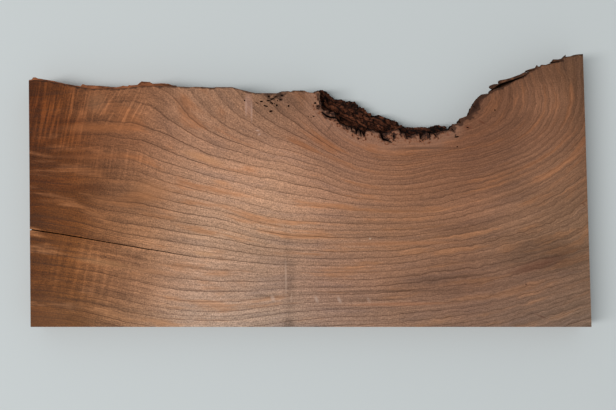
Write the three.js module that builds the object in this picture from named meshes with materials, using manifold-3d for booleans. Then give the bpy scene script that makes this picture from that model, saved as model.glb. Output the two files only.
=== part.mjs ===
// Live-edge black walnut blank: one rough slab with a sawn front edge, two sawn ends and a natural far edge.
// Plan points are millimetres from the front left corner, x along the front edge and y towards the live edge.
// Depth is measured down from the sawn top face.
import * as THREE from "three";
import { mergeVertices } from "three/addons/utils/BufferGeometryUtils.js";
import Module from "manifold-3d";

const wasm = await Module();
wasm.setup();

// Driving dimensions, millimetres
const frontLength = 457;
const thickness = 25.4;
const endLean = Math.tan(THREE.MathUtils.degToRad(1.11));
const stationStep = 2.8;
const levelCount = 13;
const closestStations = 0.45;
const tipWidth = 0.16;
const aboveTop = 1;
const leastRise = 0.7;

const walnutMaterial = new THREE.MeshStandardMaterial({ color: 0x8f6a50, roughness: 0.72, metalness: 0 });

// The live edge from left to right, stretch by stretch. "top" is the edge of the sawn face and "bark" is the
// line that the profile reaches where its second number is 1. Each profile row is depth, share of the way
// from top to bark, and a push outwards. Lumps are how far the crumbled bark rises and falls.

// Left stretch: thin bark left on the arris stands a little proud of the face.
const leftLip = {
  top: [
    [-3.9, 201.6], [0.5, 202.5], [9.5, 202], [22, 199.5], [32, 197.5], [38.5, 196.5], [46.5, 195], [63, 195],
    [71.5, 195], [79.5, 196], [88, 197], [104, 197.5], [112.5, 197], [117.5, 197],
  ],
  bark: [
    [-3.9, 202.8], [-2, 203], [-1, 205], [1, 205], [3.5, 204], [7.5, 203.5], [12.5, 202.5], [20.5, 201],
    [29, 199.5], [38.5, 198], [39.5, 199.5], [40.5, 199.5], [42.5, 198.5], [51.5, 198], [64, 197.5], [68, 197],
    [73.5, 198], [77.5, 197.5], [78, 198.5], [85, 198.5], [88.5, 201.5], [95, 201.5], [97.5, 200], [105, 200],
    [111, 199.5], [113.5, 198.5], [117, 198],
  ],
  profile: [
    [0, 0, 0], [0.8, 0.7, 0], [2, 1, 0], [3.6, 1, 0], [6, 0.6, -0.2], [10, 0.2, -0.4],
    [15, 0, -0.2], [thickness, -0.2, -1.4],
  ],
  relief: 0.4,
  lumps: 0,
};

// Clean stretch: the bark is gone and the fluted sapwood drops straight down.
const cleanEdge = {
  top: [
    [118.5, 197], [129, 196.5], [137, 196.5], [147, 196], [150.5, 196.5], [163.5, 196.5], [168.5, 195],
    [174, 193.5], [178.5, 192.5], [182.5, 191.5], [200.5, 191.5], [204.5, 193], [209.5, 193], [212, 192.5],
    [213.5, 193.5], [223, 193.5], [225, 192.5], [227.5, 192], [230.5, 192], [231.5, 193], [235, 193],
  ],
  profile: [[0, 0, 0], [2, 0, 0.2], [8, 0, -0.7], [14, 0, -0.3], [20, 0, -1], [thickness, 0, -2]],
  relief: 0.5,
  lumps: 0,
};

// Deep crust: rotted bark falls away from the face to a ragged ledge near the underside.
const deepCrust = {
  top: [
    [235.5, 193], [236, 191], [235.5, 187.5], [237, 182.5], [237, 179], [239, 177], [242.5, 177.5],
    [243.5, 174.5], [246, 175.5], [248, 174.5], [248.5, 171.5], [251, 167.5], [253, 166], [256.5, 165],
    [259, 163.5], [262, 163], [264.5, 161.5], [266, 157.5], [267, 161], [269.5, 160], [272, 155.5],
    [273.5, 160.5], [278.5, 161], [281, 160], [283.5, 159], [286, 158], [289.5, 158.5], [293.5, 159.5],
    [296.5, 161.5], [300, 162],
  ],
  bark: [
    [236.5, 196.3], [239, 196.5], [242, 195], [244.5, 193], [248, 190], [250.5, 189], [255, 189],
    [257.5, 188.5], [259, 187.5], [261.5, 188], [265.5, 187], [266.5, 186], [266.8, 184.6], [268, 184.5],
    [268.6, 182.6], [270, 182.5], [273, 181.5], [273.4, 179.7], [275, 179.5], [276.5, 178.5], [279.5, 177.5],
    [279.5, 175.5], [283.5, 175.5], [288.5, 175], [291, 174], [294.5, 173], [296, 171.5], [298, 171.5],
    [300.5, 170], [302.5, 167.5],
  ],
  profile: [
    [0, 0, 0], [4.5, 0.05, 0], [7.5, 0.13, 0], [8.5, 0.24, 0], [7.5, 0.35, 0], [8.5, 0.46, 0], [10.5, 0.57, 0],
    [10.5, 0.68, 0], [12.5, 0.79, 0], [15, 0.9, 0], [18.5, 1, 0], [22, 1, -0.8], [thickness, 0.95, -1.6],
  ],
  relief: 0.3,
  lumps: 2.4,
};

// Shallow crust: the same rotted bark as a narrow shelf along the bottom of the bay.
const shallowCrust = {
  top: [
    [302.5, 158.5], [305.5, 158], [307, 155.5], [309, 155], [310.5, 156], [313, 157.5], [317, 158], [319, 155],
    [320, 156.5], [323, 159], [325.5, 158], [328.5, 158], [331, 158.5], [335.5, 160], [340, 160.5],
  ],
  bark: [
    [303, 166.3], [304.5, 166.5], [305, 165], [309.5, 164.5], [313.5, 164.5], [316, 164], [319.5, 165],
    [322.5, 164.5], [327, 164.5], [328.5, 165.5], [332, 166], [334.5, 166.5], [337, 165.5], [339.5, 165],
    [341, 164],
  ],
  profile: [
    [0, 0, 0], [2.5, 0.08, 0], [4.5, 0.2, 0], [5, 0.4, 0], [5.5, 0.6, 0], [7, 0.8, 0], [10, 1, 0],
    [14, 1, -0.4], [20, 1, -0.6], [thickness, 0.95, -2],
  ],
  relief: 0.4,
  lumps: 1.3,
};

// Right wall of the bay: torn fibre that drops almost straight down.
const rightWall = {
  top: [
    [341.8, 161.2], [342.5, 163], [344, 163.5], [344.5, 166], [347.5, 166], [349.5, 167], [351.5, 166.5],
    [352, 167.2], [351.5, 168.5], [350.5, 169.5], [351.5, 170.5], [353.5, 171], [356, 172.5], [358.5, 173.5],
    [359.5, 177], [360.5, 178.5], [361, 181], [362.5, 181.5], [363, 184], [364.5, 186], [366.5, 188.5],
    [369, 190.5], [372.5, 191], [375.5, 191.5], [376, 193], [378, 193.7],
  ],
  profile: [[0, 0, 0], [2, 0, 0.3], [8, 0, -0.9], [13, 0, -0.2], [19, 0, -1], [thickness, 0, -2.2]],
  relief: 0.6,
  lumps: 0,
};

// Splintered stretch: thin slivers hang out over the torn wall, which is the line reached at share 1.
const lowerSplinter = {
  top: [
    [379, 195], [376.5, 195.5], [375.4, 196.2], [375, 197], [375.6, 197.7], [377.5, 198.5], [379, 199],
    [382.5, 199.2], [383.5, 200.5],
  ],
  bark: [[379.4, 195.2], [379, 196.2], [380.4, 197.4], [382.4, 198.4], [384.4, 199.6]],
  profile: [[0, 0, 0], [2.5, 0.05, 0], [5, 0.3, 0], [7, 0.9, 0], [9, 1, 0], [15, 1, 0], [thickness, 1, -1.2]],
  relief: 0.1,
  lumps: 0,
};

const splinteredEdge = {
  top: [
    [382.6, 201.6], [384, 202.2], [388.5, 203], [392.5, 204], [396.5, 205.5], [400.5, 207], [405, 209],
    [405.6, 210.3], [409, 211.5], [413, 212.5], [414.5, 215], [415.6, 213.6], [417.3, 213.7], [418, 215],
    [422, 215], [424.5, 216], [426.8, 218], [427.8, 219.5], [432, 219.5], [434.5, 220], [436, 221],
    [437.4, 222.5], [438.4, 223.4], [438.4, 221.7], [442, 222], [444.5, 223], [447, 223.5], [452.66, 224],
  ],
  bark: [
    [384.6, 200.2], [388, 201.6], [392, 202.8], [396.5, 204], [400.5, 205.3], [405, 207.4], [409, 209.4],
    [414, 211.3], [420, 212.6], [425, 214], [430, 216.8], [436, 218.8], [444, 220.8], [452.66, 222.2],
  ],
  profile: [
    [0, 0, 0], [2.5, 0.05, 0], [4.5, 0.3, 0], [6.5, 0.85, 0], [9, 1, -0.3], [14, 1, 0.1], [20, 1, -0.6],
    [thickness, 1, -1.5],
  ],
  relief: 0.4,
  lumps: 0,
};

const liveEdge = [leftLip, cleanEdge, deepCrust, shallowCrust, rightWall, lowerSplinter, splinteredEdge];

// Open cracks. Each runs along plan points from its wide end to its tip, and a row is x, y, width, depth.
const longCheck = [
  [-6, 79.6, 1, 4], [1, 79, 1, 5], [8, 77.9, 1, 12], [25, 75.4, 0.95, 16], [58, 69.6, 0.85, 16],
  [91, 63.9, 0.75, 14], [107.5, 61.4, 0.6, 11], [128, 57.6, 0.35, 6], [138, 55.8, tipWidth, 2],
];
const splinterCrevice = [
  [374, 193.4, 0.9, 12], [378.5, 194.9, 1.2, 12], [381, 196.2, 2, 12], [385, 198, 3.4, 12], [392, 200.8, 2.3, 11],
  [397.5, 203, 1.5, 9], [403, 205.2, 0.8, 6], [408, 208, tipWidth, 2],
];
const topCrevices = [
  [[405, 208.8, 0.9, 6], [409, 210.2, 0.8, 6], [413, 211.4, tipWidth, 3]],
  [[424.5, 216.4, 1, 6], [429.5, 217.2, 0.9, 6], [436.5, 218.6, tipWidth, 3]],
];
const crustFissures = [
  [[237.5, 176, 0.8, 5], [241, 172.8, 1.8, 8], [244.5, 171.3, 1.6, 9], [248.8, 171.6, 1.2, 9]],
  [[286, 160, 2, 9], [286.2, 157, 2, 9], [287.6, 153.6, 1.8, 8], [290.5, 152.6, 1.4, 7], [295, 150.8, 0.5, 3]],
  [[286.4, 157, 1.2, 6], [289, 155.6, 0.4, 3]],
  [[325.5, 159.5, 1, 6], [326.2, 153.6, 0.3, 3]],
  [[328.4, 159.5, 1.1, 6], [331.2, 155.4, 0.5, 3]],
  [[256.8, 166, 1.2, 6], [258, 161.4, 0.4, 3]],
  [[261, 164.5, 1.4, 7], [262.4, 159.2, 0.4, 3]],
  [[269, 161, 1.5, 7], [269.6, 155.6, 0.5, 3]],
  [[306, 159, 2, 7], [307.6, 153.6, 0.6, 4]],
  [[318.5, 159, 2.2, 7], [318.6, 153.8, 0.8, 4]],
  [[344, 162.5, 1, 5], [346, 159.6, 0.4, 3]],
  [[362, 181, 1, 6], [365, 178.4, 0.4, 3]],
];

// Worm holes and pits: x, y, length, width, depth and turn in degrees.
const wormPits = [
  [193.8, 188.8, 2, 1.6, 6, 0], [199.4, 188.6, 3.6, 1, 3, 15], [204.5, 189.7, 2.7, 1.3, 4, 3],
  [196.7, 186.7, 3.6, 1.1, 4, 22], [193.9, 185.3, 4.4, 1.1, 4, -14], [196.2, 183.4, 3.4, 1.2, 5, -35],
  [203.4, 186, 2.4, 1.4, 4, 10], [200.9, 185.3, 1.2, 1.1, 3, 0], [187.7, 184.6, 3, 1.3, 4, 0],
  [183.9, 183.4, 2.8, 0.9, 2, -10], [191.2, 180.9, 4.2, 1.3, 4, -15], [200.3, 181.5, 2, 1.8, 5, 0],
  [198.6, 183, 1, 1, 3, 0], [210, 180.9, 1.8, 1.7, 5, 0], [195.5, 176.6, 3.3, 1.7, 3, 5],
  [173.8, 185.4, 1.5, 1.3, 3, 0], [232, 183.3, 2, 1.3, 5, -20], [233.9, 180.8, 1.4, 1.2, 4, 0],
  [226.3, 172.2, 1, 0.9, 2, 0], [228.5, 171.4, 1, 0.9, 2, 0], [230.6, 172.2, 1, 0.9, 2, 0],
  [296.4, 155.9, 1.6, 2.4, 4, 0], [348.2, 155.4, 3.9, 1.3, 4, 10], [348.5, 147.3, 1.2, 1.2, 3, 0],
  [357.2, 163.1, 2.6, 1, 2, -10], [379.7, 177.5, 1.4, 1.3, 3, 0],
];
const pitSides = 7;

// Repeatable noise between -1 and 1 that changes over about one unit.
function latticeValue(i, j, seed) {
  const wave = Math.sin(i * 127.1 + j * 311.7 + seed * 74.7) * 43758.5453;
  return 2 * (wave - Math.floor(wave)) - 1;
}

function smoothNoise(x, y, seed) {
  const i = Math.floor(x);
  const j = Math.floor(y);
  const u = THREE.MathUtils.smoothstep(x - i, 0, 1);
  const v = THREE.MathUtils.smoothstep(y - j, 0, 1);
  const near = THREE.MathUtils.lerp(latticeValue(i, j, seed), latticeValue(i + 1, j, seed), u);
  const far = THREE.MathUtils.lerp(latticeValue(i, j + 1, seed), latticeValue(i + 1, j + 1, seed), u);
  return THREE.MathUtils.lerp(near, far, v);
}

// Crumbled bark breaks in lumps that are longer along the log than across it.
function crustLump(x, y) {
  const along = (x * 0.92 - y * 0.39) / 8;
  const across = (x * 0.39 + y * 0.92) / 4.2;
  return 0.7 * smoothNoise(along, across, 5) + 0.5 * smoothNoise(along * 2.3, across * 2.1, 8);
}

// A polyline that can be read at any share of its length.
function measuredLine(points) {
  const line = points.map(([x, y]) => new THREE.Vector2(x, y));
  const marks = [0];
  for (let i = 1; i < line.length; i += 1) {
    marks.push(marks[i - 1] + line[i].distanceTo(line[i - 1]));
  }
  const length = marks.at(-1);
  const at = (share) => {
    const run = THREE.MathUtils.clamp(share, 0, 1) * length;
    const i = Math.max(1, marks.findIndex((mark) => mark >= run - 1e-9));
    const blend = (run - marks[i - 1]) / (marks[i] - marks[i - 1]);
    return line[i - 1].clone().lerp(line[i], blend);
  };
  return { length, at, shares: marks.map((mark) => mark / length) };
}

// The shares at which a stretch gets a station: every drawn point and an even step between them.
function stationShares(top, bark) {
  const steps = Math.ceil(top.length / stationStep);
  const even = Array.from({ length: steps + 1 }, (_, i) => i / steps);
  const drawn = [...new Set([...top.shares, ...bark.shares])].sort((a, b) => a - b);
  const gap = closestStations / Math.max(top.length, bark.length);
  const kept = drawn.filter((share, i) => i === 0 || share - drawn[i - 1] > gap);
  const wide = (0.5 * stationStep) / top.length;
  const extra = even.filter((share) => kept.every((other) => Math.abs(other - share) > wide));
  return [...kept, ...extra].sort((a, b) => a - b);
}

// A profile drawn with a few rows, read at every level.
function levelRows(profile) {
  return Array.from({ length: levelCount }, (_, level) => {
    const place = (level / (levelCount - 1)) * (profile.length - 1);
    const row = Math.min(Math.floor(place), profile.length - 2);
    return profile[row].map((value, k) => THREE.MathUtils.lerp(value, profile[row + 1][k], place - row));
  });
}

// One column of points down the live edge, from the top face to the underside.
function liveStation(stretch, top, bark, share) {
  const reach = 4 / top.length;
  const ahead = top.at(share + reach);
  const run = ahead.sub(top.at(share - reach)).normalize();
  const outwards = new THREE.Vector2(-run.y, run.x);
  const topPoint = top.at(share);
  const barkPoint = bark.at(share);
  return levelRows(stretch.profile).map(([depth, toBark, push], level) => {
    const plan = topPoint.clone().lerp(barkPoint, toBark);
    const flute = stretch.relief * smoothNoise((plan.x + plan.y) / 9, depth / 3.2, 3);
    plan.addScaledVector(outwards, push + (level > 0 ? flute : 0));
    const onFace = level === 0 || level === levelCount - 1;
    const lump = onFace ? 0 : stretch.lumps * crustLump(plan.x, plan.y);
    const height = THREE.MathUtils.clamp(thickness - depth + lump, leastRise, thickness - leastRise);
    return new THREE.Vector3(plan.x, plan.y, onFace ? thickness - depth : height);
  });
}

function stretchStations(stretch) {
  const top = measuredLine(stretch.top);
  const bark = measuredLine(stretch.bark ?? stretch.top);
  return stationShares(top, bark).map((share) => liveStation(stretch, top, bark, share));
}

// Both ends are sawn flat, so the outermost columns are brought onto the two leaning end planes.
function leanOnto(station, cornerX) {
  return station.map(({ y, z }) => new THREE.Vector3(cornerX - endLean * y, y, z));
}

function frontStation(cornerX) {
  return levelRows(cleanEdge.profile).map(([depth]) => new THREE.Vector3(cornerX, 0, thickness - depth));
}

function boardStations() {
  const live = liveEdge.flatMap(stretchStations);
  live[0] = leanOnto(live[0], 0);
  live[live.length - 1] = leanOnto(live.at(-1), frontLength);
  return [frontStation(0), ...live, frontStation(frontLength)];
}

function capTriangles(stations, level) {
  const outline = stations.map((station) => new THREE.Vector2(station[level].x, station[level].y));
  return THREE.ShapeUtils.triangulateShape(outline, []);
}

// Walls between neighbouring columns, closed by the two sawn faces.
function boardGeometry() {
  const stations = boardStations();
  const positions = stations.flat().flatMap((point) => point.toArray());
  const indices = [];
  stations.forEach((_, i) => {
    const here = i * levelCount;
    const next = ((i + 1) % stations.length) * levelCount;
    for (let level = 0; level < levelCount - 1; level += 1) {
      indices.push(here + level, next + level, here + level + 1);
      indices.push(next + level, next + level + 1, here + level + 1);
    }
  });
  for (const [a, b, c] of capTriangles(stations, 0)) {
    indices.push(a * levelCount, b * levelCount, c * levelCount);
  }
  const under = levelCount - 1;
  for (const [a, b, c] of capTriangles(stations, under)) {
    indices.push(c * levelCount + under, b * levelCount + under, a * levelCount + under);
  }
  return indexedGeometry(positions, indices);
}

function indexedGeometry(positions, indices) {
  const geometry = new THREE.BufferGeometry();
  geometry.setAttribute("position", new THREE.Float32BufferAttribute(positions, 3));
  geometry.setIndex(indices);
  return geometry;
}

// A crack is a narrow wedge that follows its rows, with a floor at half its width.
function crackGeometry(rows) {
  const positions = [];
  rows.forEach(([x, y, width, depth], i) => {
    const before = rows[Math.max(i - 1, 0)];
    const after = rows[Math.min(i + 1, rows.length - 1)];
    const run = new THREE.Vector2(after[0] - before[0], after[1] - before[1]).normalize();
    const side = new THREE.Vector2(-run.y, run.x).multiplyScalar(width / 2);
    const floor = thickness - depth;
    positions.push(x + side.x, y + side.y, thickness + aboveTop);
    positions.push(x - side.x, y - side.y, thickness + aboveTop);
    positions.push(x - side.x / 2, y - side.y / 2, floor);
    positions.push(x + side.x / 2, y + side.y / 2, floor);
  });
  const indices = [0, 2, 1, 0, 3, 2];
  for (let i = 0; i < rows.length - 1; i += 1) {
    for (let corner = 0; corner < 4; corner += 1) {
      const a = 4 * i + corner;
      const b = 4 * i + ((corner + 1) % 4);
      indices.push(a, b, a + 4, b, b + 4, a + 4);
    }
  }
  const end = 4 * (rows.length - 1);
  indices.push(end, end + 1, end + 2, end, end + 2, end + 3);
  return indexedGeometry(positions, indices);
}

// A pit narrows downwards and is stretched along the grain.
function pitGeometry([x, y, length, width, depth, turn]) {
  const height = depth + aboveTop;
  const geometry = new THREE.CylinderGeometry(0.55, 0.3, height, pitSides);
  geometry.rotateX(Math.PI / 2);
  geometry.scale(length, width, 1);
  geometry.rotateZ(THREE.MathUtils.degToRad(turn));
  geometry.translate(x, y, thickness + aboveTop - height / 2);
  return geometry;
}

function solidOf(geometry) {
  geometry.deleteAttribute("normal");
  geometry.deleteAttribute("uv");
  const merged = mergeVertices(geometry, 1e-4);
  const vertProperties = new Float32Array(merged.attributes.position.array);
  const triVerts = new Uint32Array(merged.index.array);
  return new wasm.Manifold(new wasm.Mesh({ numProp: 3, vertProperties, triVerts }));
}

function geometryOf(solid) {
  const { vertProperties, triVerts } = solid.getMesh();
  return indexedGeometry(Array.from(vertProperties), Array.from(triVerts));
}

function walnutBlank() {
  const cracks = [longCheck, splinterCrevice, ...topCrevices, ...crustFissures].map(crackGeometry);
  const cuts = [...cracks, ...wormPits.map(pitGeometry)];
  const solid = cuts.reduce((rest, cut) => rest.subtract(solidOf(cut)), solidOf(boardGeometry()));
  const geometry = geometryOf(solid);
  geometry.computeBoundingBox();
  const { min, max } = geometry.boundingBox;
  geometry.translate(-(min.x + max.x) / 2, -(min.y + max.y) / 2, -min.z);
  const mesh = new THREE.Mesh(geometry, walnutMaterial);
  mesh.name = "walnut_blank";
  return mesh;
}

const object = new THREE.Group();
object.add(walnutBlank());
export default object;
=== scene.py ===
import math

import bpy
import numpy as np
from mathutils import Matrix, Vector
from mathutils.kdtree import KDTree


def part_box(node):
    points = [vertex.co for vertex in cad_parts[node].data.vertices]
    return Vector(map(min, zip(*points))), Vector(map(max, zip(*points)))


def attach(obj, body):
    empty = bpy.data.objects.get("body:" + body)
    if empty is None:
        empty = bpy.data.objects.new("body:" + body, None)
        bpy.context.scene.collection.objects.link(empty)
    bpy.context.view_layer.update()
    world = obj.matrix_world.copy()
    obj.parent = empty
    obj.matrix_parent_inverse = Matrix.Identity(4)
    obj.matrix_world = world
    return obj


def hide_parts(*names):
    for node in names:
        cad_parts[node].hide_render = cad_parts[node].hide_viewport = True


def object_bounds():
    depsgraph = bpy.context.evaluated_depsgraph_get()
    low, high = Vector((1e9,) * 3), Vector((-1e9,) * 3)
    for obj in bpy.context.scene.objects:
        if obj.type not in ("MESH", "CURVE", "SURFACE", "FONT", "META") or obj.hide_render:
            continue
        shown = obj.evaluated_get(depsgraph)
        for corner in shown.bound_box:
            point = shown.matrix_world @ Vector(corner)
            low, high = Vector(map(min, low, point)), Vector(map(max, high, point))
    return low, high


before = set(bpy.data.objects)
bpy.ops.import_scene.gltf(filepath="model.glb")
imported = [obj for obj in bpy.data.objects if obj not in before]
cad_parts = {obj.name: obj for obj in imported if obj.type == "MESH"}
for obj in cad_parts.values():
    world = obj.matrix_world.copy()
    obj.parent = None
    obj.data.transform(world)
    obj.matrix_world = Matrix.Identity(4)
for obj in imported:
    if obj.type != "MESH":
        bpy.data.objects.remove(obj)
cadLow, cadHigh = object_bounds()
print("frame loaded")

# The board's plan is read in millimetres from its front left corner, as it is drawn.
frontLength = 0.457
cornerX = cadHigh.x - frontLength
cornerY = cadLow.y
topZ = cadHigh.z
endLean = math.tan(math.radians(1.11))


# Camera

cameraSettings = {
    "lens": 50,
    "aim": (226.0, 99.4),       # millimetres on the top face
    "distance": 0.7006,
    "tilt": 2.1,                # degrees towards the front edge
}


def placeCamera(s):
    aim = Vector((cornerX + s["aim"][0] / 1000, cornerY + s["aim"][1] / 1000, topZ))
    tilt = math.radians(s["tilt"])
    away = Vector((0, -math.sin(tilt), math.cos(tilt))) * s["distance"]
    bpy.ops.object.select_all(action="DESELECT")
    bpy.ops.object.camera_add(location=aim + away, rotation=(tilt, 0, 0))
    camera = bpy.context.active_object
    camera.name = "photoCamera"
    camera.data.lens = s["lens"]
    camera.data.clip_start = 0.01
    bpy.context.scene.camera = camera


placeCamera(cameraSettings)
print("camera placed")


# Growth rings: lines read along the grain of the sawn face, each with its ring number

grainSettings = {
    "smoothing": 200,
    "lean": 1.3,                # how far a ring moves towards the live edge for each millimetre of depth
    "cup": 0.028,               # how that lean grows with the depth
    "chunk": 4000,              # points worked out at a time
}
grainLines = [
    (0, [(236, 187), (256, 156), (277, 147), (302, 143), (334, 145), (367, 153), (384, 161), (396, 171),
         (401, 182), (402, 190)]),
    (5, [(334, 132), (384, 140), (417, 157), (430, 178), (429, 198), (421, 215)]),
    (4.9, [(156, 188), (160, 182), (169, 175), (178, 165)]),
    (5.6, [(144, 188), (148, 183), (158, 173), (178, 163)]),
    (6.2, [(133, 185), (137, 176), (150, 165), (170, 154), (195, 145), (228, 136)]),
    (6.7, [(119, 190), (129, 173), (146, 165), (162, 154), (174, 149), (203, 140), (236, 132)]),
    (7.7, [(104, 184), (109, 178), (114, 171), (129, 163), (155, 148)]),
    (8.2, [(71, 180), (86, 179), (96, 172), (104, 166), (121, 159), (137, 152), (154, 147), (170, 143),
           (203, 136), (236, 126)]),
    (9.2, [(78, 163), (88, 161), (104, 157), (113, 154), (129, 146), (137, 142), (154, 136), (187, 130),
           (220, 122)]),
    (9.9, [(72, 153), (96, 150), (109, 145), (121, 140), (137, 134), (170, 126), (203, 122)]),
    (11, [(6, 146), (55, 147), (72, 147), (88, 143), (105, 136), (121, 130), (154, 120), (187, 112),
          (211, 106), (244, 103), (285, 99), (334, 99)]),
    (11.7, [(2, 140), (55, 142), (80, 139), (96, 132), (109, 127), (129, 122), (170, 112)]),
    (13.9, [(23, 122), (72, 120), (88, 119), (97, 117)]),
    (16.2, [(56, 102), (80, 99), (105, 95), (129, 90), (154, 87)]),
    (17.5, [(220, 65), (252, 63), (301, 65), (334, 71), (383, 81), (416, 92), (449, 112)]),
    (17.7, [(7, 102), (27, 99), (39, 97), (48, 93), (64, 89), (89, 85)]),
    (19.9, [(-1, 81), (23, 76), (56, 71), (89, 65), (105, 63), (134, 58)]),
    (23.7, [(56, 37), (81, 32), (105, 27), (130, 23), (171, 23), (220, 28), (268, 28), (317, 32),
            (366, 37), (399, 45), (432, 53), (455, 59)]),
    (26.4, [(7, 22), (40, 18), (56, 14), (89, 7), (130, 2)]),
    (30.4, [(407, 7), (432, 15), (454, 22)]),
]


def plateKernel(squared):
    tiny = 1e-9
    return 0.5 * squared * np.log(squared + tiny)


def ringField(lines, s):
    # gives back a function that reads the ring number at plan points
    points = np.array([p for _, line in lines for p in line], dtype=float)
    values = np.array([ring for ring, line in lines for _ in line], dtype=float)
    count = len(points)
    squared = ((points[:, None] - points[None]) ** 2).sum(-1)
    plane = np.column_stack([np.ones(count), points])
    system = np.zeros((count + 3, count + 3))
    system[:count, :count] = plateKernel(squared) + s["smoothing"] * np.eye(count)
    system[:count, count:] = plane
    system[count:, :count] = plane.T
    weights = np.linalg.solve(system, np.concatenate([values, np.zeros(3)]))

    def ringAt(plan):
        result = np.empty(len(plan))
        for start in range(0, len(plan), s["chunk"]):
            part = plan[start:start + s["chunk"]]
            near = ((part[:, None] - points[None]) ** 2).sum(-1)
            bent = plateKernel(near) @ weights[:count]
            result[start:start + s["chunk"]] = bent + weights[count] + part @ weights[count + 1:]
        return result

    return ringAt


# The board: a finer copy of the solid, cut into small cells that carry the ring numbers. Lengths are in
# metres where no note says otherwise.

boardSettings = {
    "cell": 0.004,
    "merge": 1e-6,
    "flatness": math.radians(0.3),
    "crust": (233, 343),        # where along the board the rotted bark is, in millimetres
    "upright": 0.999,           # how squarely a sawn face looks up or down
    "onPlane": 1e-5,
    "onSawnEdge": 0.02,         # millimetres
    "crackDepth": 5,            # millimetres inside the live edge where walls belong to cracks
    "crustFoot": 150,           # and the line below which they do beside the rotted bark
    "midLevel": 0.55,
    "splits": (["crust", "torn"], ["crust"]),
    "relief": (                 # name, kind of face, pattern, size and depth
        ("blocks", "crust", "VORONOI", 0.004, 0.003),
        ("crumbs", "crust", "CLOUDS", 0.0011, 0.0009),
        ("fibres", "torn", "CLOUDS", 0.004, 0.0006),
    ),
    "reach": {                  # kinds of face that each attribute fades away from, and how far
        "nearCrack": (["crack"], 0.003),
        "nearWood": (["sawn"], 0.009),
        "nearEdge": (["torn", "crust"], 0.004),
        "nearCrust": (["crust"], 0.016),
    },
}
faceKinds = {"sawn": 0, "end": 1, "crust": 2, "torn": 3, "crack": 4}
# The live edge's course along the board, in millimetres.
liveEdgeLine = [(-5, 201), (50, 194), (120, 196), (185, 191), (234, 192), (237, 178), (262, 160), (300, 155),
                (343, 158), (362, 180), (380, 194), (408, 208), (453, 222)]


def copyOfNode(nodeName, name):
    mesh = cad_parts[nodeName].data.copy()
    mesh.materials.clear()
    piece = bpy.data.objects.new(name, mesh)
    bpy.context.scene.collection.objects.link(piece)
    bpy.ops.object.select_all(action="DESELECT")
    piece.select_set(True)
    bpy.context.view_layer.objects.active = piece
    return piece


def cutIntoCells(s):
    low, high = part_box("walnut_blank")
    bpy.ops.mesh.customdata_custom_splitnormals_clear()
    bpy.ops.object.mode_set(mode="EDIT")
    bpy.ops.mesh.select_all(action="SELECT")
    bpy.ops.mesh.remove_doubles(threshold=s["merge"])
    bpy.ops.mesh.dissolve_limited(angle_limit=s["flatness"])
    for axis, normal in enumerate(((1, 0, 0), (0, 1, 0), (0, 0, 1))):
        steps = int((high[axis] - low[axis]) / s["cell"])
        for step in range(1, steps):
            place = Vector(normal) * (low[axis] + (high[axis] - low[axis]) * step / steps)
            bpy.ops.mesh.select_all(action="SELECT")
            bpy.ops.mesh.bisect(plane_co=place, plane_no=normal)
    bpy.ops.mesh.select_all(action="DESELECT")
    bpy.ops.object.mode_set(mode="OBJECT")


def readVectors(items, attribute):
    values = np.empty(len(items) * 3)
    items.foreach_get(attribute, values)
    return values.reshape(-1, 3)


def readKinds(mesh):
    kinds = np.empty(len(mesh.polygons), dtype=np.int32)
    mesh.polygons.foreach_get("material_index", kinds)
    return kinds


def planOf(points):
    return (points[:, :2] - (cornerX, cornerY)) * 1000


def sortFaces(piece, s):
    # tells sawn faces, ends, crust, torn edge and the walls of cracks apart
    mesh = piece.data
    centres = readVectors(mesh.polygons, "center")
    normals = readVectors(mesh.polygons, "normal")
    plan = planOf(centres)
    onTop = (normals[:, 2] > s["upright"]) & (centres[:, 2] > topZ - s["onPlane"])
    onUnder = (normals[:, 2] < -s["upright"]) & (centres[:, 2] < s["onPlane"])
    onFront = plan[:, 1] < s["onSawnEdge"]
    fromLeft = plan[:, 0] + endLean * plan[:, 1]
    onEnd = (fromLeft < s["onSawnEdge"]) | (fromLeft > frontLength * 1000 - s["onSawnEdge"])
    line = np.array(liveEdgeLine, dtype=float)
    inside = plan[:, 1] < np.interp(plan[:, 0], line[:, 0], line[:, 1]) - s["crackDepth"]
    inCrust = (plan[:, 0] > s["crust"][0]) & (plan[:, 0] < s["crust"][1])
    kinds = np.full(len(centres), faceKinds["torn"])
    kinds[inCrust] = faceKinds["crust"]
    kinds[inside & ~inCrust] = faceKinds["crack"]
    kinds[inside & inCrust & (plan[:, 1] < s["crustFoot"])] = faceKinds["crack"]
    kinds[onEnd | onFront] = faceKinds["end"]
    kinds[onTop | onUnder] = faceKinds["sawn"]
    mesh.polygons.foreach_set("material_index", kinds.astype(np.int32))


def splitFaces(piece, kindNames):
    mesh = piece.data
    mesh.vertices.foreach_set("select", np.zeros(len(mesh.vertices), dtype=bool))
    mesh.edges.foreach_set("select", np.zeros(len(mesh.edges), dtype=bool))
    chosen = np.isin(readKinds(mesh), [faceKinds[name] for name in kindNames])
    mesh.polygons.foreach_set("select", chosen)
    bpy.ops.object.mode_set(mode="EDIT")
    bpy.ops.mesh.select_mode(type="FACE")
    bpy.ops.mesh.subdivide(number_cuts=1)
    bpy.ops.mesh.select_all(action="DESELECT")
    bpy.ops.object.mode_set(mode="OBJECT")


def freeVertices(mesh, kindName):
    # vertices that only touch faces of the named kind, so the sawn faces' edges stay sharp
    wanted = readKinds(mesh) == faceKinds[kindName]
    free = np.zeros(len(mesh.vertices), dtype=bool)
    held = np.zeros(len(mesh.vertices), dtype=bool)
    for face in mesh.polygons:
        mark = free if wanted[face.index] else held
        mark[list(face.vertices)] = True
    return np.flatnonzero(free & ~held).tolist()


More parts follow.
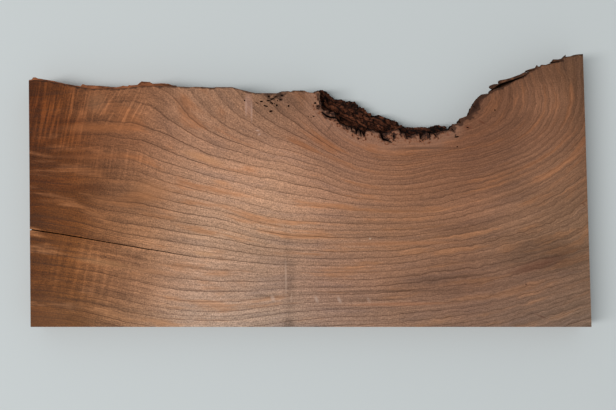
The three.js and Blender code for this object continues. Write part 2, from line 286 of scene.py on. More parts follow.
def roughen(piece, name, kindName, pattern, size, depth, midLevel):
    group = piece.vertex_groups.new(name=name)
    group.add(freeVertices(piece.data, kindName), 1.0, "REPLACE")
    texture = bpy.data.textures.new(name, pattern)
    texture.noise_scale = size
    modifier = piece.modifiers.new(name, "DISPLACE")
    modifier.texture = texture
    modifier.texture_coords = "LOCAL"
    modifier.vertex_group = name
    modifier.strength = depth
    modifier.mid_level = midLevel
    bpy.ops.object.modifier_apply(modifier=name)


def keepInside(mesh):
    low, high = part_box("walnut_blank")
    places = np.clip(readVectors(mesh.vertices, "co"), tuple(low), tuple(high))
    mesh.vertices.foreach_set("co", places.ravel())
    mesh.update()


def writeRings(mesh, s):
    places = readVectors(mesh.vertices, "co")
    depth = (topZ - places[:, 2]) * 1000
    plan = planOf(places)
    plan[:, 1] -= s["lean"] * depth + s["cup"] * depth ** 2
    layer = mesh.attributes.new("ring", "FLOAT", "POINT")
    layer.data.foreach_set("value", ringField(grainLines, s)(plan).astype(np.float32))


def writeReach(mesh, attributeName, kindNames, reach):
    # 1 on faces of the named kinds and at their edges, falling to 0 at the reach
    chosen = np.isin(readKinds(mesh), [faceKinds[name] for name in kindNames])
    touched = {v for face in mesh.polygons if chosen[face.index] for v in face.vertices}
    tree = KDTree(len(touched))
    for index in touched:
        tree.insert(mesh.vertices[index].co, index)
    tree.balance()
    nearness = [max(0.0, 1 - tree.find(vertex.co)[2] / reach) for vertex in mesh.vertices]
    layer = mesh.attributes.new(attributeName, "FLOAT", "POINT")
    layer.data.foreach_set("value", nearness)


def makeBoard(s):
    board = copyOfNode("walnut_blank", "walnutBoard")
    cutIntoCells(s)
    sortFaces(board, s)
    print("board cut into", len(board.data.polygons), "cells")
    for kindNames in s["splits"]:
        splitFaces(board, kindNames)
    for relief in s["relief"]:
        roughen(board, *relief, s["midLevel"])
    keepInside(board.data)
    writeRings(board.data, grainSettings)
    for attributeName, (kindNames, reach) in s["reach"].items():
        writeReach(board.data, attributeName, kindNames, reach)
    board.vertex_groups.clear()
    print("board has", len(board.data.polygons), "faces")
    return board


board = makeBoard(boardSettings)
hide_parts("walnut_blank")
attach(board, "root")


# Shader helpers. A node is made after those that feed it, because the render engine works them out in
# that order, and in another it runs out of room for the sawn wood's many values.

nodeSpacing = (220, 200)


def addNode(tree, kind, **settings):
    node = tree.nodes.new(kind)
    for name, value in settings.items():
        setattr(node, name, value)
    return node


def wire(tree, source, target):
    tree.links.new(source, target)


def feed(tree, socket, value):
    # a number or a colour is set on the socket, and anything else is wired to it
    if isinstance(value, (int, float, tuple)):
        socket.default_value = value
    else:
        wire(tree, value, socket)


def layOut(tree):
    # columns by distance from the output, rows in the order of making
    columns = {node.name: 0 for node in tree.nodes}
    links = [(link.from_node.name, link.to_node.name) for link in tree.links]
    moved = True
    while moved:
        moved = False
        for source, target in links:
            if columns[source] <= columns[target]:
                columns[source] = columns[target] + 1
                moved = True
    rows = {}
    for node in tree.nodes:
        column = columns[node.name]
        rows[column] = rows.get(column, 0) + 1
        node.location = (-nodeSpacing[0] * column, -nodeSpacing[1] * rows[column])


def calculate(tree, operation, *values, clamp=False):
    node = addNode(tree, "ShaderNodeMath", operation=operation, use_clamp=clamp)
    for socket, value in zip(node.inputs, values):
        feed(tree, socket, value)
    return node.outputs[0]


def times(tree, first, *others):
    for value in others:
        first = calculate(tree, "MULTIPLY", first, value)
    return first


def plus(tree, first, *others):
    for value in others:
        first = calculate(tree, "ADD", first, value)
    return first


def mapRange(tree, value, span, result, smooth=True):
    node = addNode(tree, "ShaderNodeMapRange")
    node.interpolation_type = "SMOOTHSTEP" if smooth else "LINEAR"
    feed(tree, node.inputs["Value"], value)
    node.inputs["From Min"].default_value, node.inputs["From Max"].default_value = span
    node.inputs["To Min"].default_value, node.inputs["To Max"].default_value = result
    return node.outputs["Result"]


def noiseOf(tree, vector, scale, detail, roughness=0.5, distortion=0.0):
    node = addNode(tree, "ShaderNodeTexNoise")
    wire(tree, vector, node.inputs["Vector"])
    node.inputs["Scale"].default_value = scale
    node.inputs["Detail"].default_value = detail
    node.inputs["Roughness"].default_value = roughness
    node.inputs["Distortion"].default_value = distortion
    return node.outputs["Fac"]


def swingOf(tree, vector, swing, **noise):
    return mapRange(tree, noiseOf(tree, vector, **noise), (0, 1), (-swing, swing), smooth=False)


def mapped(tree, vector, kind="POINT", location=(0, 0, 0), turn=0, scale=(1, 1, 1)):
    node = addNode(tree, "ShaderNodeMapping", vector_type=kind)
    node.inputs["Location"].default_value = location
    node.inputs["Rotation"].default_value = (0, 0, math.radians(turn))
    node.inputs["Scale"].default_value = scale
    wire(tree, vector, node.inputs["Vector"])
    return node.outputs[0]


def mixColours(tree, blend, factor, a, b):
    node = addNode(tree, "ShaderNodeMix", data_type="RGBA", blend_type=blend)
    feed(tree, node.inputs[0], factor)
    feed(tree, node.inputs[6], a)
    feed(tree, node.inputs[7], b)
    return node.outputs[2]


def colourRamp(tree, value, stops):
    ramp = addNode(tree, "ShaderNodeValToRGB")
    elements = ramp.color_ramp.elements
    elements[0].position, elements[0].color = stops[0]
    elements[1].position, elements[1].color = stops[-1]
    for position, tint in stops[1:-1]:
        elements.new(position).color = tint
    wire(tree, value, ramp.inputs[0])
    return ramp.outputs[0]


def gray(tree, value):
    joined = addNode(tree, "ShaderNodeCombineColor")
    for socket in joined.inputs:
        wire(tree, value, socket)
    return joined.outputs[0]


def attributeOf(tree, name):
    return addNode(tree, "ShaderNodeAttribute", attribute_name=name).outputs["Fac"]


def axesOf(tree, vector):
    parts = addNode(tree, "ShaderNodeSeparateXYZ")
    wire(tree, vector, parts.inputs[0])
    return parts.outputs


def newGroup(name, outputs):
    # a group that is given the ring number and the place
    group = bpy.data.node_groups.new(name, "ShaderNodeTree")
    group.interface.new_socket(name="Ring", in_out="INPUT", socket_type="NodeSocketFloat")
    group.interface.new_socket(name="Position", in_out="INPUT", socket_type="NodeSocketVector")
    for label in outputs:
        group.interface.new_socket(name=label, in_out="OUTPUT", socket_type="NodeSocketFloat")
    start = addNode(group, "NodeGroupInput")
    end = addNode(group, "NodeGroupOutput")
    return group, start.outputs["Ring"], start.outputs["Position"], end.inputs


def placeGroup(tree, group, ring, coords):
    node = addNode(tree, "ShaderNodeGroup", node_tree=group)
    wire(tree, ring, node.inputs["Ring"])
    wire(tree, coords, node.inputs["Position"])
    return node.outputs


def newMaterial(name):
    material = bpy.data.materials.new(name)
    material.use_nodes = True
    tree = material.node_tree
    coords = addNode(tree, "ShaderNodeTexCoord").outputs["Object"]
    return material, tree, tree.nodes["Principled BSDF"], coords


def dressShader(tree, shader, tint, roughness, sheen):
    wire(tree, tint, shader.inputs["Base Color"])
    feed(tree, shader.inputs["Roughness"], roughness)
    shader.inputs["Specular IOR Level"].default_value = sheen


def addBump(tree, shader, height, strength, distance):
    bump = addNode(tree, "ShaderNodeBump")
    bump.inputs["Strength"].default_value = strength
    bump.inputs["Distance"].default_value = distance
    wire(tree, height, bump.inputs["Height"])
    wire(tree, bump.outputs[0], shader.inputs["Normal"])


def colour(red, green, blue):
    # red, green and blue from 0 to 255, made linear
    steps = [value / 255 for value in (red, green, blue)]
    linear = [v / 12.92 if v <= 0.04045 else ((v + 0.055) / 1.055) ** 2.4 for v in steps]
    return (*linear, 1.0)


# Shared effects

ringSettings = {
    "wander": (                  # how far the rings stray from their lines, and the noise that moves them
        (0.25, {"scale": 26, "detail": 2}),
        (0.09, {"scale": 150, "detail": 3}),
    ),
    "lines": {                   # lines to a ring, where one starts and peaks, its weakest strength, patches
        "Line": (1.0, 0.86, 0.96, 0.3, 22),
        "Fine": (2.0, 0.76, 0.92, 0.3, 26),
        "Finest": (5.6, 0.5, 0.82, -0.1, 40),
    },
    "patchDetail": 2,
    "broken": ((0.35, 0.6), (0.55, 1)),
    "lateWood": 0.35,            # how far into a ring it begins
}
fibreSettings = {                # changes across a ring and in a metre along it, detail, roughness
    "Bands": (0.7, 16, 3, 0.6),
    "Streaks": (3.4, 15, 4, 0.66),
    "Pores": (9, 190, 2, 0.6),
}
speckNoise = {"scale": 900, "detail": 2, "roughness": 0.7}


def growthRingGroup(s):
    group, ring, coords, result = newGroup("growthRings", [*s["lines"], "Late"])
    for swing, noise in s["wander"]:
        ring = plus(group, ring, swingOf(group, coords, swing, **noise))
    for name, (rate, start, peak, weakest, patches) in s["lines"].items():
        scaled = times(group, ring, rate)
        part = calculate(group, "FRACT", scaled)
        rise = mapRange(group, part, (start, peak), (0, 1))
        fall = mapRange(group, part, (peak, 1), (1, 0))
        number = calculate(group, "FLOOR", scaled)
        chance = addNode(group, "ShaderNodeTexWhiteNoise", noise_dimensions="1D")
        wire(group, number, chance.inputs["W"])
        strength = mapRange(group, chance.outputs["Value"], (0, 1), (weakest, 1), smooth=False)
        kept = mapRange(group, noiseOf(group, coords, patches, s["patchDetail"]), *s["broken"])
        wire(group, times(group, rise, fall, strength, kept), result[name])
        if name == "Line":
            wire(group, mapRange(group, part, (s["lateWood"], 1), (0, 1)), result["Late"])
    layOut(group)
    return group


def woodFibreGroup(layers, specks):
    # each layer changes fast across the rings and slowly along them
    group, ring, coords, result = newGroup("woodFibres", [*layers, "Specks"])
    axes = axesOf(group, coords)
    for name, (across, along, detail, roughness) in layers.items():
        rates = ((ring, across), (axes[0], along), (axes[1], along))
        places = [times(group, value, rate) for value, rate in rates]
        joined = addNode(group, "ShaderNodeCombineXYZ")
        for place, socket in zip(places, joined.inputs):
            wire(group, place, socket)
        wire(group, noiseOf(group, joined.outputs[0], 1.0, detail, roughness), result[name])
    wire(group, noiseOf(group, coords, **specks), result["Specks"])
    layOut(group)
    return group


growthRings = growthRingGroup(ringSettings)
woodFibres = woodFibreGroup(fibreSettings, speckNoise)


# The sawn faces. A pair of pairs gives the span of a value and what its two ends become.

sawnSettings = {
    "wobble": 0.34,              # how far the rings stray further at the right
    "wobbleNoise": {"scale": 115, "detail": 3},
    "masks": {                   # metres from the left end, and the mask's value there
        "leftward": ((0, 0.16), (1, 0.2)),
        "rightward": ((0.2, 0.38), (0, 1)),
        "notLeft": ((0.04, 0.14), (0, 1)),
    },
    "lowLeft": ((0.34, 0.5), (0.7, 0)),
    "zones": [                   # early wood from the left end to the right end, with painted light in these colours: the light's fall along the board, and its sheen, lighter in the middle
        (0.00, colour(85, 46, 17)),
        (0.08, colour(119, 73, 38)),
        (0.20, colour(163, 120, 92)),
        (0.30, colour(187, 151, 129)),
        (0.42, colour(176, 142, 121)),
        (0.54, colour(164, 127, 107)),
        (0.66, colour(155, 115, 92)),
        (0.80, colour(140, 103, 83)),
        (0.90, colour(137, 104, 85)),
        (1.00, colour(132, 103, 84)),
    ],
    "heights": [                 # what the wood is multiplied by, from the front edge to the live edge: painted light, lighter at the front where the light's sheen falls and darker towards the live edge, with the wood's own change of tone
        (0.00, (0.95, 1.01, 1.03, 1.0)),
        (0.15, (0.96, 0.92, 0.88, 1.0)),
        (0.33, (1.02, 0.95, 0.84, 1.0)),
        (0.50, (0.95, 0.82, 0.70, 1.0)),
        (0.68, (0.80, 0.64, 0.53, 1.0)),
        (0.84, (0.71, 0.57, 0.46, 1.0)),
        (1.00, (0.65, 0.52, 0.41, 1.0)),
    ],
    "zoneSwing": 0.06,
    "zoneNoise": {"scale": 9, "detail": 2},
    "cool": (0.93, 0.99, 1.08, 1.0),
    "warm": colour(180, 124, 85),
    "dark": colour(90, 47, 19),
    "coolBands": ((0.3, 0.48), (0.9, 0)),
    "warmBands": ((0.52, 0.68), (0, 1)),
    "darkBands": ((0.3, 0.5), (0.6, 0)),
    "warmth": (0.56, 0.32),      # at the left and at the right, as in the rows below
    "brushed": (0.45, 0.7),
    "grit": (1.0, 0.55),
    "warmGrit": ((0, 0.6), (1.0, 0.25)),
    "streak": ((0.3, 0.7), (-0.3, 0.3)),
    "pore": ((0.3, 0.7), (0.82, 1.18)),
    "speck": ((0.3, 0.7), (-0.4, 0.4)),
    "late": ((0, 1), (1.06, 0.9)),
    "line": colour(75, 45, 29),
    "lineStrength": {            # at the left and at the right, and added at the lower left
        "Line": (0.57, 0.342, 0),
        "Fine": (0.52, 0.5, 0.75),
        "Finest": (0.3, 0.5, 0.75),
    },
    "faded": ((0.3, 1), (1, 0.35)),
    "calm": ((0.68, 0.86), (1, 0.45)),
    "roughness": ((0.3, 0.7), (0.56, 0.72)),
    "sheen": 0.12,
    "relief": {"Pores": 0.7, "Specks": 0.4},
    "bump": (0.4, 0.0003),
}
edgeSettings = {                 # stains of the wood beside the rotted bark and the torn edge, and painted shade in the hollow beside the bark and at the cracks
    "pink": colour(168, 126, 104),
    "orange": colour(120, 66, 38),
    "black": colour(40, 22, 15),
    "ragged": {"scale": 420, "detail": 3, "roughness": 0.65},
    "frayed": {"scale": 230, "detail": 4},
    "rimReach": 0.62,
    "edgeReach": 0.82,
    "bayWall": ((362, 178), (34, 40), 0),
    "bayWallReach": 0.36,
    "besideCrust": ((0.4, 0.6), (0, 0.5)),
    "pinkStain": ((0.15, 0.8), (0, 0.3)),
    "orangeStain": ((1.02, 1.1), (0, 0.7)),
    # painted shade: black in the hollow where the sawn face meets the rotted bark
    "rimShade": ((1.12, 1.18), (0, 0.95)),
    "edgeStain": ((1.0, 1.3), (0, 0.75)),
    # painted shade: black at the mouths of the cracks beside the bark
    "crackShade": ((0.86, 0.98), (0, 0.85)),
}
figureLook = {
    "stretch": 14,               # how much longer than wide a streak is
    "noise": {"scale": 1.0, "detail": 2, "roughness": 0.6, "distortion": 0.3},
    "span": (0.42, 0.68),
    "swing": (-0.16, 1.0),
}
# The curly figure: centre, half size, lean in degrees, streaks to a metre, strength.
figureSettings = [
    ((20, 176), (46, 52), 10, 380, 1.0),
    ((72, 180), (30, 24), 27, 430, 0.8),
    ((64, 134), (50, 24), 8, 300, 0.42),
    ((44, 44), (90, 46), 12, 260, 0.32),
]
shadeSettings = [                # lighter and darker patches of the wood's tone, and one painted highlight: centre, half size, turn, factor
    # painted highlight: the light's sheen, lighter in the middle of the top face
    ((196, 112), (80, 50), -18, 1.26),
    ((56, 118), (62, 32), -4, 0.66),
    ((32, 121), (24, 10), 0, 1.25),
    ((92, 100), (28, 16), 0, 0.82),
    ((10, 140), (34, 14), 0, 0.72),
    ((50, 162), (40, 20), 0, 0.88),
    ((8, 181), (14, 16), 0, 1.15),
    ((4, 86), (20, 14), 0, 0.92),
    ((46, 117), (44, 10), 0, 1.14),
    ((72, 146), (18, 8), 0, 0.88),
    ((92, 181), (16, 14), 0, 1.16),
    ((203, 183), (36, 18), 0, 0.78),
    ((206, 142), (32, 14), -20, 1.2),
    ((58, 56), (34, 18), -6, 1.2),
    ((6, 6), (34, 26), 0, 1.42),
    ((18, 38), (34, 12), 0, 1.05),
    ((30, 18), (18, 8), 0, 0.8),
    ((424, 140), (42, 46), 0, 1.3),
    ((420, 186), (32, 24), 0, 1.4),
    ((366, 98), (56, 15), 12, 1.2),
    ((394, 90), (40, 16), 14, 1.2),
    ((418, 60), (46, 24), 10, 0.74),
    ((440, 56), (30, 18), 12, 0.8),
    ((338, 36), (64, 16), 4, 0.8),
    ((12, 108), (20, 8), 0, 0.9),
    ((82, 70), (38, 14), -6, 1.17),
    ((120, 84), (44, 9), -8, 0.87),
    ((100, 24), (34, 16), 0, 1.14),
    ((152, 18), (20, 12), 0, 1.12),
    ((209, 44), (6, 50), 0, 0.84),
    ((213, 32), (5, 38), -3, 0.86),
    ((210, 2), (7, 8), 0, 0.62),
    ((192, 25.2), (18, 2.2), 0, 0.68),
    ((284, 29), (80, 1.8), 1, 0.68),
    ((284, 22), (54, 1.3), 1, 0.7),
    ((262, 15.4), (48, 1.1), 1, 0.74),
    ((318, 146), (38, 1.7), 1, 0.5),
    ((243.9, 163.4), (1.4, 6), -32, 0.5),
]
marksSettings = [                # small marks: centre, half size, turn, colour, strength
    ((207.9, 40), (1.3, 22), 1, colour(204, 170, 148), 0.4),
    ((212.4, 24), (1.1, 6), -4, colour(200, 164, 142), 0.35),
    ((177, 183), (4.6, 13), 0, colour(184, 140, 124), 0.35),
    ((175, 180), (1.2, 12), 0, colour(206, 166, 150), 0.3),
    ((179.6, 176), (1.2, 12), 0, colour(206, 166, 150), 0.35),
    ((197.3, 23), (2.4, 4), 28, colour(200, 170, 152), 0.5),
    ((232.9, 22.4), (2, 4.6), 24, colour(200, 170, 152), 0.45),
    ((251.6, 21.9), (2, 4.4), 30, colour(200, 170, 152), 0.45),
    ((275.5, 21.9), (1.8, 4), 30, colour(190, 160, 142), 0.3),
    ((276.8, 71.9), (1.4, 1.2), 0, colour(210, 184, 160), 0.5),
    ((184.6, 160.6), (2.4, 0.9), -8, colour(210, 170, 152), 0.6),
    ((185.9, 157.5), (2, 1.3), 30, colour(210, 170, 152), 0.5),
    ((52, 184), (12, 13), -20, colour(146, 104, 74), 0.34),
    ((52, 163), (46, 6), 0, colour(164, 100, 58), 0.35),
    ((140, 138), (26, 4.6), -18, colour(198, 140, 98), 0.55),
    ((155, 118), (10, 3), -12, colour(200, 138, 96), 0.5),
    ((98, 111), (24, 13), -10, colour(184, 124, 82), 0.36),
    ((141, 59.5), (13, 3), -8, colour(198, 146, 104), 0.45),
    ((12, 8), (46, 26), 0, colour(104, 70, 49), 0.38),
    ((60, 52), (34, 4), -9, colour(176, 126, 86), 0.4),
    ((100, 45), (30, 3), -8, colour(190, 134, 96), 0.4),
    ((50, 139), (48, 3), 0, colour(164, 100, 60), 0.3),
    ((300, 68), (72, 2.6), 1, colour(184, 122, 82), 0.4),
    ((300, 18.6), (58, 2.2), 1, colour(180, 118, 82), 0.35),
    ((412, 50), (32, 6), 16, colour(106, 60, 42), 0.4),
    ((364, 181), (3.4, 14), -40, colour(56, 31, 22), 0.8),
    ((404, 34.5), (1.1, 1), 0, colour(60, 34, 26), 0.8),
    ((416, 8.6), (7, 1.1), -22, colour(84, 48, 36), 0.5),
    ((452, 100), (3.4, 1), -40, colour(84, 48, 36), 0.5),
    ((369, 167.4), (5.4, 1.2), -28, colour(96, 52, 34), 0.6),
    ((341, 156.8), (2.6, 1.3), 0, colour(104, 50, 32), 0.7),
    ((357.2, 163.2), (5, 2.6), 0, colour(104, 56, 36), 0.5),
    ((235.4, 186), (1.3, 9), 0, colour(204, 160, 126), 0.7),
]
spotEdge = 0.8                   # where a spot reaches its full strength, counted from its rim
spotDepth = 0.02                 # metres below the top face


def spotMask(tree, coords, centre, halfSize, turn):
    middle = (cornerX + centre[0] / 1000, cornerY + centre[1] / 1000, topZ)
    halfSizes = (halfSize[0] / 1000, halfSize[1] / 1000, spotDepth)
    place = mapped(tree, coords, "TEXTURE", middle, turn, halfSizes)
    ball = addNode(tree, "ShaderNodeTexGradient", gradient_type="SPHERICAL")
    wire(tree, place, ball.inputs["Vector"])
    return mapRange(tree, ball.outputs["Fac"], (0, spotEdge), (0, 1))


def shading(tree, coords, shades):
    total = 1.0
    for centre, halfSize, turn, factor in shades:
        spot = spotMask(tree, coords, centre, halfSize, turn)
        total = plus(tree, times(tree, spot, factor - 1), total)
    return total


def curlyFigure(tree, coords, patches, s):
    total = 0.0
    for centre, halfSize, lean, rate, strength in patches:
        spot = spotMask(tree, coords, centre, halfSize, 0)
        turned = mapped(tree, coords, "TEXTURE", turn=-lean, scale=(1 / rate, s["stretch"] / rate, 1))
        swing = tuple(strength * value for value in s["swing"])
        streaks = mapRange(tree, noiseOf(tree, turned, **s["noise"]), s["span"], swing)
        total = plus(tree, times(tree, streaks, spot), total)
    return total


def boardMasks(tree, coords, s):
    across, up, _ = axesOf(tree, coords)
    masks = {}
    for name, ((start, end), result) in s["masks"].items():
        masks[name] = mapRange(tree, across, (cadLow.x + start, cadLow.x + end), result)
    masks["along"] = mapRange(tree, across, (cadLow.x, cadHigh.x), (0, 1), smooth=False)
    masks["upward"] = mapRange(tree, up, (cadLow.y, cadHigh.y), (0, 1), smooth=False)
    masks["lowLeft"] = times(tree, mapRange(tree, masks["upward"], *s["lowLeft"]), masks["leftward"])
    return masks


def fromLeftToRight(tree, masks, values, smooth=True):
    return mapRange(tree, masks["rightward"], (0, 1), values, smooth)


# the early wood's colours, which carry painted light along the board as well as the wood's tone
def earlyWoodAndLight(tree, coords, fibres, masks, s):
    wander = swingOf(tree, coords, s["zoneSwing"], **s["zoneNoise"])
    wood = colourRamp(tree, plus(tree, masks["along"], wander), s["zones"])
    cool = times(tree, mapRange(tree, fibres["Bands"], *s["coolBands"]), masks["notLeft"])
    dark = times(tree, mapRange(tree, fibres["Bands"], *s["darkBands"]), masks["leftward"])
    warmth = fromLeftToRight(tree, masks, s["warmth"])
    warm = times(tree, mapRange(tree, fibres["Bands"], *s["warmBands"]), warmth)
    wood = mixColours(tree, "MULTIPLY", cool, wood, s["cool"])
    wood = mixColours(tree, "MIX", warm, wood, s["warm"])
    return mixColours(tree, "MIX", dark, wood, s["dark"]), warm


def brightness(tree, coords, rings, fibres, masks, warm, s):
    brushed = plus(tree, fromLeftToRight(tree, masks, s["brushed"]), masks["lowLeft"])
    grit = times(tree, mapRange(tree, warm, *s["warmGrit"], smooth=False),
                 fromLeftToRight(tree, masks, s["grit"], smooth=False))
    streak = mapRange(tree, fibres["Streaks"], *s["streak"], smooth=False)
    streak = plus(tree, times(tree, streak, brushed), 1.0)
    pore = mapRange(tree, fibres["Pores"], *s["pore"], smooth=False)
    speck = mapRange(tree, fibres["Specks"], *s["speck"], smooth=False)
    speck = plus(tree, times(tree, speck, grit), 1.0)
    late = mapRange(tree, rings["Late"], *s["late"], smooth=False)
    light = times(tree, streak, pore, times(tree, speck, late))
    light = plus(tree, light, curlyFigure(tree, coords, figureSettings, figureLook))
    return times(tree, light, shading(tree, coords, shadeSettings))


def ringStrength(tree, rings, masks, s):
    faded = mapRange(tree, masks["leftward"], *s["faded"], smooth=False)
    total = 0.0
    for name, (left, right, lowLeft) in s["lineStrength"].items():
        share = times(tree, fromLeftToRight(tree, masks, (left, right), smooth=False), faded)
        share = plus(tree, share, times(tree, masks["lowLeft"], lowLeft))
        line = times(tree, calculate(tree, "MAXIMUM", rings[name], 0.0), share)
        total = calculate(tree, "ADD", line, total, clamp=True)
    return times(tree, total, mapRange(tree, masks["upward"], *s["calm"]))


def paintMarks(tree, coords, wood, marks):
    for centre, halfSize, turn, tint, strength in marks:
        spot = spotMask(tree, coords, centre, halfSize, turn)
        wood = mixColours(tree, "MIX", times(tree, spot, strength), wood, tint)
    return wood


def stainAndShadeEdges(tree, coords, wood, s):
    nearCrust = attributeOf(tree, "nearCrust")
    ragged = noiseOf(tree, coords, **s["ragged"])
    rim = plus(tree, times(tree, nearCrust, s["rimReach"]), ragged)
    edge = times(tree, attributeOf(tree, "nearEdge"), s["edgeReach"])
    bayWall = times(tree, spotMask(tree, coords, *s["bayWall"]), s["bayWallReach"])
    edge = plus(tree, edge, plus(tree, bayWall, noiseOf(tree, coords, **s["frayed"])))
    besideCrust = mapRange(tree, nearCrust, *s["besideCrust"])
    crack = plus(tree, times(tree, attributeOf(tree, "nearCrack"), besideCrust), ragged)
    # the black at the rim and at the cracks is painted shade
    for mask, stain, tint in ((nearCrust, "pinkStain", "pink"), (rim, "orangeStain", "orange"),
                              (rim, "rimShade", "black"), (edge, "edgeStain", "black"),
                              (crack, "crackShade", "black")):
        wood = mixColours(tree, "MIX", mapRange(tree, mask, *s[stain]), wood, s[tint])
    return wood


def sawnMaterial(s):
    material, tree, shader, coords = newMaterial("sawnWalnut")
    masks = boardMasks(tree, coords, s)
    wobble = times(tree, swingOf(tree, coords, s["wobble"], **s["wobbleNoise"]), masks["rightward"])
    ring = plus(tree, attributeOf(tree, "ring"), wobble)
    rings = placeGroup(tree, growthRings, ring, coords)
    fibres = placeGroup(tree, woodFibres, ring, coords)
    wood, warm = earlyWoodAndLight(tree, coords, fibres, masks, s)
    light = brightness(tree, coords, rings, fibres, masks, warm, s)
    wood = mixColours(tree, "MULTIPLY", 1.0, wood, gray(tree, light))
    # painted light: the wood is made darker from the front edge towards the live edge
    wood = mixColours(tree, "MULTIPLY", 1.0, wood, colourRamp(tree, masks["upward"], s["heights"]))
    wood = mixColours(tree, "MIX", ringStrength(tree, rings, masks, s), wood, s["line"])
    wood = paintMarks(tree, coords, wood, marksSettings)
    wood = stainAndShadeEdges(tree, coords, wood, edgeSettings)
    roughness = mapRange(tree, fibres["Streaks"], *s["roughness"], smooth=False)
    dressShader(tree, shader, wood, roughness, s["sheen"])
    relief = [times(tree, fibres[name], height) for name, height in s["relief"].items()]
    addBump(tree, shader, plus(tree, *relief), *s["bump"])
    layOut(tree)
    return material


# The sawn ends and the front edge

endSettings = {
    "light": colour(146, 101, 73),
    "dark": colour(68, 42, 29),
    "saw": {"scale": 600, "detail": 3},
    "streak": ((0.3, 0.7), (0, 0.5)),
    "lineStrength": 0.7,
    "gritStrength": 0.35,
    "roughness": 0.72,
    "sheen": 0.15,
    "bump": (0.5, 0.0004),
}


def endMaterial(s):
    material, tree, shader, coords = newMaterial("endGrain")
    ring = attributeOf(tree, "ring")
    rings = placeGroup(tree, growthRings, ring, coords)
    fibres = placeGroup(tree, woodFibres, ring, coords)
    saw = noiseOf(tree, coords, **s["saw"])
    streak = mapRange(tree, fibres["Streaks"], *s["streak"], smooth=False)
    dark = plus(tree, streak, times(tree, rings["Line"], s["lineStrength"]))
    dark = calculate(tree, "ADD", dark, times(tree, saw, s["gritStrength"]), clamp=True)
    wood = mixColours(tree, "MIX", dark, s["light"], s["dark"])
    dressShader(tree, shader, wood, s["roughness"], s["sheen"])
    addBump(tree, shader, saw, *s["bump"])
    layOut(tree)
    return material


# The rotted bark

crustSettings = {
    "layerTurn": -32,
    "layerSize": (0.011, 0.0032, 0.004),
    "patches": {"scale": 1.0, "detail": 4, "roughness": 0.65},
    "crumbs": {"scale": 520, "detail": 3, "roughness": 0.75},
    "patchShare": 0.8,
    "crumbShare": 0.5,
    "flakeScale": 0.6,
    "flakeBend": 0.5,
    "gaps": ((0, 0.12), (0.24, 0)),
    "innerShade": 0.34,           # painted shade: how much darker the bark is made beside the sound wood, in the hollow between them
    "stops": [(0.4, colour(16, 8, 6)), (0.6, colour(60, 31, 20)), (0.8, colour(114, 66, 44))],
    "knob": colour(128, 84, 66),
    "knobSpot": ((245.6, 174.7), (2.6, 2.8), 0),
    "knobStrength": 0.75,
    "roughness": 0.95,
    "sheen": 0.1,
    "bump": (0.8, 0.0008),
}


def crustMaterial(s):
    material, tree, shader, coords = newMaterial("rottedBark")
    layers = mapped(tree, coords, "TEXTURE", turn=s["layerTurn"], scale=s["layerSize"])
    patches = noiseOf(tree, layers, **s["patches"])
    crumbs = noiseOf(tree, coords, **s["crumbs"])
    tone = plus(tree, times(tree, patches, s["patchShare"]), times(tree, crumbs, s["crumbShare"]))
    bent = mixColours(tree, "LINEAR_LIGHT", s["flakeBend"], layers, gray(tree, patches))
    flakes = addNode(tree, "ShaderNodeTexVoronoi", feature="DISTANCE_TO_EDGE")
    flakes.inputs["Scale"].default_value = s["flakeScale"]
    wire(tree, bent, flakes.inputs["Vector"])
    gaps = mapRange(tree, flakes.outputs["Distance"], *s["gaps"])
    tone = calculate(tree, "SUBTRACT", tone, gaps)
    # painted shade in the hollow where the bark meets the sound wood
    tone = calculate(tree, "SUBTRACT", tone, times(tree, attributeOf(tree, "nearWood"), s["innerShade"]))
    knob = times(tree, spotMask(tree, coords, *s["knobSpot"]), s["knobStrength"])
    bark = mixColours(tree, "MIX", knob, colourRamp(tree, tone, s["stops"]), s["knob"])
    dressShader(tree, shader, bark, s["roughness"], s["sheen"])
    addBump(tree, shader, crumbs, *s["bump"])
    layOut(tree)
    return material


# The torn live edge

tornSettings = {
    "wood": [(0.42, colour(24, 13, 9)), (0.54, colour(70, 41, 27)), (0.66, colour(132, 86, 56))],
    "bark": [(0.42, colour(70, 40, 25)), (0.6, colour(162, 100, 66))],
    "barkEnd": (0.11, 0.125),    # where the thin bark of the left lip runs out, metres from the left end
    "shadeTint": colour(22, 13, 10),  # painted shade: darker deep in the crevices, more so at the right
    "shadeDepth": 0.005,
    "shadeStrength": 0.6,
    "shadeRight": (0.13, 0.4),
    "fibreScale": (70, 70, 620),
    "fibres": {"scale": 1.0, "detail": 4, "roughness": 0.65},
    "fibreShare": 0.78,
    "patchScale": (45, 45, 160),
    "patches": {"scale": 1.0, "detail": 5, "roughness": 0.6},
    "patchShare": 0.27,
    "roughness": 0.9,
    "sheen": 0.1,
    "bump": (0.7, 0.0007),
}


def tornMaterial(s):
    material, tree, shader, coords = newMaterial("tornEdge")
    fibres = noiseOf(tree, mapped(tree, coords, scale=s["fibreScale"]), **s["fibres"])
    patches = noiseOf(tree, mapped(tree, coords, scale=s["patchScale"]), **s["patches"])
    tone = plus(tree, times(tree, fibres, s["fibreShare"]), times(tree, patches, s["patchShare"]))
    across, _, height = axesOf(tree, coords)
    onLip = mapRange(tree, across, [cadLow.x + place for place in s["barkEnd"]], (1, 0))
    wood = colourRamp(tree, tone, s["wood"])
    torn = mixColours(tree, "MIX", onLip, wood, colourRamp(tree, tone, s["bark"]))
    # painted shade: the torn edge is made darker the deeper it lies below the top face
    deep = mapRange(tree, height, (topZ, topZ - s["shadeDepth"]), (0, s["shadeStrength"]))
    rightward = mapRange(tree, across, [cadLow.x + place for place in s["shadeRight"]], (0, 1))
    torn = mixColours(tree, "MIX", times(tree, deep, rightward), torn, s["shadeTint"])
    dressShader(tree, shader, torn, s["roughness"], s["sheen"])
    addBump(tree, shader, fibres, *s["bump"])
    layOut(tree)
    return material
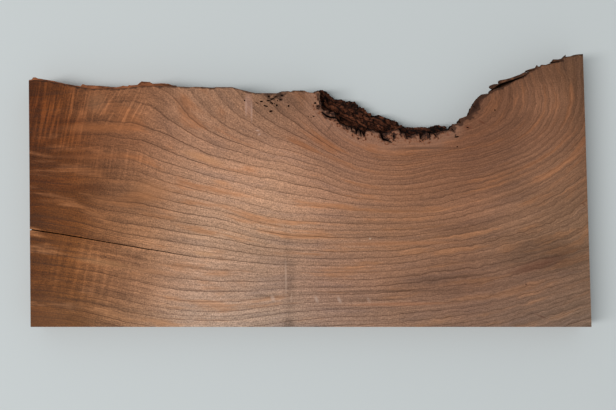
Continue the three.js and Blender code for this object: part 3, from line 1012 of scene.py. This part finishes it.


# Walls of cracks and worm pits, coloured near black as painted shade

crackSettings = {
    "dark": colour(10, 6, 5),
    "light": colour(50, 24, 15),
    "shadeMottle": {"scale": 700, "detail": 3},
    "roughness": 1.0,
    "sheen": 0.0,
}


def crackMaterial(s):
    material, tree, shader, coords = newMaterial("crackWall")
    wood = mixColours(tree, "MIX", noiseOf(tree, coords, **s["shadeMottle"]), s["dark"], s["light"])
    dressShader(tree, shader, wood, s["roughness"], s["sheen"])
    layOut(tree)
    return material


for finish in (sawnMaterial(sawnSettings), endMaterial(endSettings), crustMaterial(crustSettings),
               tornMaterial(tornSettings), crackMaterial(crackSettings)):
    board.data.materials.append(finish)
print("finishes made")


# Floor and light

studioSettings = {
    "floor": colour(204, 208, 208),
    "floorSize": 12.0,
    "floorRoughness": 0.9,
    "sky": colour(230, 236, 238),
    "skyStrength": 0.54,
    "keyPlace": (-2.05, -0.45, 3.4),
    "keySize": (0.9, 3.0),
    "keyPower": 98,
}


def makeStudio(s):
    bpy.ops.object.select_all(action="DESELECT")
    bpy.ops.mesh.primitive_plane_add(size=s["floorSize"], location=(0, 0, 0))
    floor = bpy.context.active_object
    floor.name = "floor"
    paper = bpy.data.materials.new("paleFloor")
    paper.use_nodes = True
    shader = paper.node_tree.nodes["Principled BSDF"]
    shader.inputs["Base Color"].default_value = s["floor"]
    shader.inputs["Roughness"].default_value = s["floorRoughness"]
    floor.data.materials.append(paper)
    bpy.ops.object.light_add(type="AREA", location=s["keyPlace"])
    key = bpy.context.active_object
    key.name = "keyLight"
    key.data.shape = "RECTANGLE"
    key.data.size, key.data.size_y = s["keySize"]
    key.data.energy = s["keyPower"]
    towards = Vector((0, 0, 0)) - key.location
    key.rotation_euler = towards.to_track_quat("-Z", "Y").to_euler()
    world = bpy.data.worlds.new("studioSky")
    world.use_nodes = True
    sky = world.node_tree.nodes["Background"]
    sky.inputs["Color"].default_value = s["sky"]
    sky.inputs["Strength"].default_value = s["skyStrength"]
    bpy.context.scene.world = world
    bpy.context.scene.view_settings.view_transform = "Standard"


makeStudio(studioSettings)
print("studio made")
